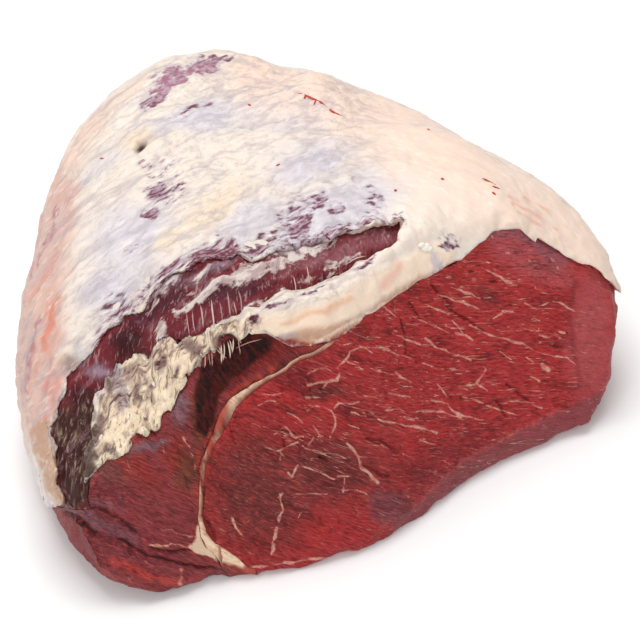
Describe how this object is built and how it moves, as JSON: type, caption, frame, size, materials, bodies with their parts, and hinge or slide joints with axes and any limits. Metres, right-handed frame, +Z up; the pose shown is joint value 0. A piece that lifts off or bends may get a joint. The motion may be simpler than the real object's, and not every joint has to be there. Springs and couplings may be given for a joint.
{
  "type": "raw beef topside",
  "caption": "Whole raw beef topside with its fat cover and cap, knife cut along the front, lying on its flat underside.",
  "frame": {"origin": "middle of the box that holds the meat, on the surface that it lies on", "axes": "+X to the right along the knife-cut front, +Y to the back, +Z up"},
  "size_m": [0.3414, 0.3508, 0.1457],
  "materials": {
    "fat_cover": "moist cream fat and white membrane with pink and purple patches",
    "cap_muscle": "dark maroon dried muscle surface",
    "lean_grain": "moist red cut grain with fine pale marbling",
    "side_muscle": "duller red-purple muscle, dark brown where it has dried",
    "seam_fat": "soft cream fat"
  },
  "bodies": {
    "root": {"fat_cap": "fat_cover", "cap_muscle": "cap_muscle", "lean_main": "lean_grain", "lean_side": "side_muscle", "seam_fat": "seam_fat"}
  },
  "joints": []
}
